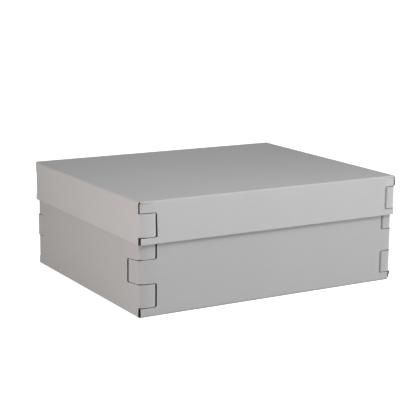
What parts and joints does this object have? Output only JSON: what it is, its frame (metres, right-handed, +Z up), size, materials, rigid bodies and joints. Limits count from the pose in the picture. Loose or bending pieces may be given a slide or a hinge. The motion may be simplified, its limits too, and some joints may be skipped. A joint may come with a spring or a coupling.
{
  "type": "archival box",
  "caption": "Rectangular grey board archival box with a lift-off lid; walls hold by locking tabs woven through notches at each corner.",
  "frame": {"origin": "middle of the surface that the tray stands on", "axes": "+X along the long side, +Y from the front long side to the back one, +Z up; the closed box stands on its base"},
  "size_m": [0.4, 0.325, 0.15],
  "materials": {
    "tray_board": "smooth uncoated grey solid board, matt, with dark cut edges",
    "lid_board": "smooth uncoated grey solid board, matt, with dark cut edges"
  },
  "bodies": {
    "tray": {"tray_base_panel": "tray_board", "tray_front_wall": "tray_board", "tray_back_wall": "tray_board", "tray_left_end_wall": "tray_board", "tray_right_end_wall": "tray_board", "tray_front_left_tab_1": "tray_board", "tray_front_left_tab_2": "tray_board", "tray_front_left_tab_3": "tray_board", "tray_front_left_tab_4": "tray_board", "tray_back_left_tab_1": "tray_board", "tray_back_left_tab_2": "tray_board", "tray_back_left_tab_3": "tray_board", "tray_back_left_tab_4": "tray_board", "tray_front_right_tab_1": "tray_board", "tray_front_right_tab_2": "tray_board", "tray_front_right_tab_3": "tray_board", "tray_front_right_tab_4": "tray_board", "tray_back_right_tab_1": "tray_board", "tray_back_right_tab_2": "tray_board", "tray_back_right_tab_3": "tray_board", "tray_back_right_tab_4": "tray_board"},
    "lid": {"lid_top_panel": "lid_board", "lid_front_wall": "lid_board", "lid_back_wall": "lid_board", "lid_left_end_wall": "lid_board", "lid_right_end_wall": "lid_board", "lid_front_left_tab": "lid_board", "lid_back_left_tab": "lid_board", "lid_front_right_tab": "lid_board", "lid_back_right_tab": "lid_board"}
  },
  "joints": [
    {"name": "lid_lift", "type": "slide", "parent": "tray", "child": "lid", "axis": [0, 0, 1], "range_m": [0, 0.25]}
  ]
}
